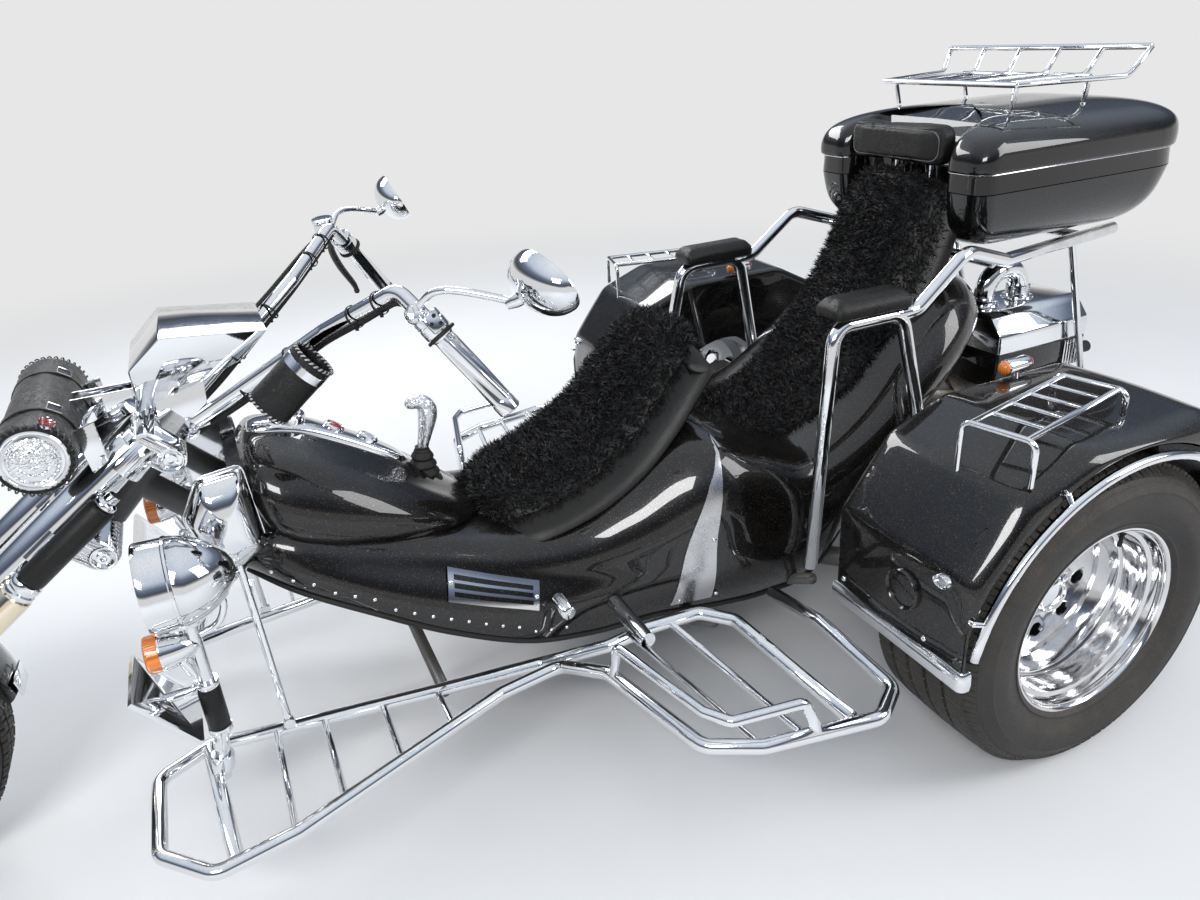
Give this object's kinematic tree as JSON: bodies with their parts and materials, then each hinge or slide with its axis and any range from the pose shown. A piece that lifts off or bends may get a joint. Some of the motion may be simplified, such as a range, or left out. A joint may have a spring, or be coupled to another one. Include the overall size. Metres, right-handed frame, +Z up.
{
  "type": "motorized trike",
  "caption": "Long-fork motor trike with two fleece seats in line, wide rear tyres, tubular footboards, armrests and a lidded top case with racks.",
  "frame": {"origin": "ground level under the middle of the vehicle's bounding box", "axes": "+X ahead along the vehicle, +Y to the rider's left, +Z up"},
  "size_m": [3.4769, 1.7806, 1.341],
  "materials": {
    "black_paint": "gloss, fine bronze flake",
    "case_paint": "gloss",
    "chrome": "polished",
    "chrome_trim": "polished, thin",
    "grey_metal": "satin",
    "engine_metal": "cast, dusty",
    "fleece": "long pile",
    "leather": "stitched, soft sheen",
    "pad_vinyl": "fine grain",
    "rubber": "matt",
    "tyre": "matt, dusty tread",
    "wheel_chrome": "polished",
    "lamp_chrome": "polished, with lenses",
    "red_lens": "gloss, ribbed"
  },
  "bodies": {
    "chassis": {"frame": "grey_metal", "engine": "engine_metal", "axle_arms": "grey_metal", "exhaust": "chrome", "body_shell": "black_paint", "tank": "black_paint", "dash_strip": "chrome_trim", "rider_seat": "fleece", "passenger_seat": "fleece", "backrest_pad": "leather", "side_trims": "chrome_trim", "rear_fenders": "black_paint", "fender_bars": "chrome", "fender_racks": "chrome", "fender_lamps": "red_lens", "armrest_tubes": "chrome", "armrest_pads": "pad_vinyl", "case_struts": "chrome", "footboards": "chrome", "pegs": "chrome", "gear_lever": "chrome_trim", "lamp_posts": "chrome", "side_lamps": "lamp_chrome", "front_covers": "chrome_trim", "case_base": "case_paint"},
    "fork": {"fork_legs": "chrome", "fork_clamps": "chrome", "dampers": "rubber", "handlebar": "chrome", "controls": "chrome_trim", "mirrors": "chrome_trim", "instrument_box": "chrome_trim", "tool_roll": "leather", "cup_holder": "leather", "front_fender": "black_paint"},
    "lid": {"case_lid": "case_paint", "case_rack": "chrome"},
    "left_wheel": {"left_rim": "wheel_chrome", "left_tyre": "tyre"},
    "right_wheel": {"right_rim": "wheel_chrome", "right_tyre": "tyre"},
    "front_wheel": {"front_rim": "wheel_chrome", "front_tyre": "tyre"}
  },
  "joints": [
    {"name": "steering", "type": "hinge", "parent": "chassis", "child": "fork", "pos_m": [0.671, 0, 0.806], "axis": [-0.7193, 0, 0.6947], "range_deg": [-32, 32]},
    {"name": "front_spin", "type": "hinge", "parent": "fork", "child": "front_wheel", "pos_m": [1.415, 0, 0.32], "axis": [0, 1, 0], "continuous": true},
    {"name": "left_spin", "type": "hinge", "parent": "chassis", "child": "left_wheel", "pos_m": [-0.885, 0.7225, 0.338], "axis": [0, 1, 0], "continuous": true},
    {"name": "right_spin", "type": "hinge", "parent": "chassis", "child": "right_wheel", "pos_m": [-0.885, -0.7225, 0.338], "axis": [0, 1, 0], "continuous": true},
    {"name": "lid_hinge", "type": "hinge", "parent": "chassis", "child": "lid", "pos_m": [-1.734, 0, 1.06], "axis": [0, -1, 0], "range_deg": [0, 75]}
  ]
}
